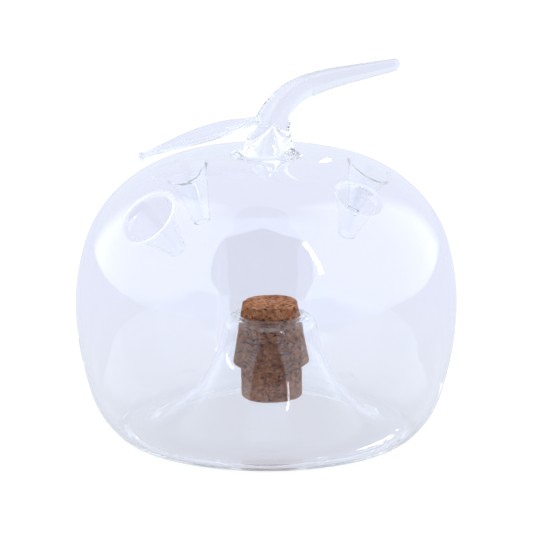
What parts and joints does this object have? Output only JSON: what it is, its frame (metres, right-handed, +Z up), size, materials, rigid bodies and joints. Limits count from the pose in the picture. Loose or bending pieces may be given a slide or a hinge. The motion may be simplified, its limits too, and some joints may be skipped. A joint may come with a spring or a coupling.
{
  "type": "wasp trap",
  "caption": "Clear blown-glass wasp trap in the shape of an apple, with inward entry funnels in its shoulder and a cork-stopped bait well in its base.",
  "frame": {"origin": "centre of the ring that the bulb stands on, at table height", "axes": "+Z up along the bulb's axis; +X the way the stem bends, opposite the leaf; -Y the front"},
  "size_m": [0.15, 0.15, 0.1479],
  "materials": {
    "clear_glass": "clear, fire-polished",
    "cork": "agglomerated cork, matt"
  },
  "bodies": {
    "glass": {"apple_bulb": "clear_glass", "stopper_well": "clear_glass", "entry_funnel_front_left": "clear_glass", "entry_funnel_front_right": "clear_glass", "entry_funnel_back_left": "clear_glass", "entry_funnel_back_right": "clear_glass", "stem": "clear_glass", "leaf": "clear_glass"},
    "stopper": {"cork_plug": "cork", "cork_grip": "cork"}
  },
  "joints": [
    {"name": "stopper_pull", "type": "slide", "parent": "glass", "child": "stopper", "axis": [0, 0, -1], "range_m": [0, 0.075]}
  ]
}
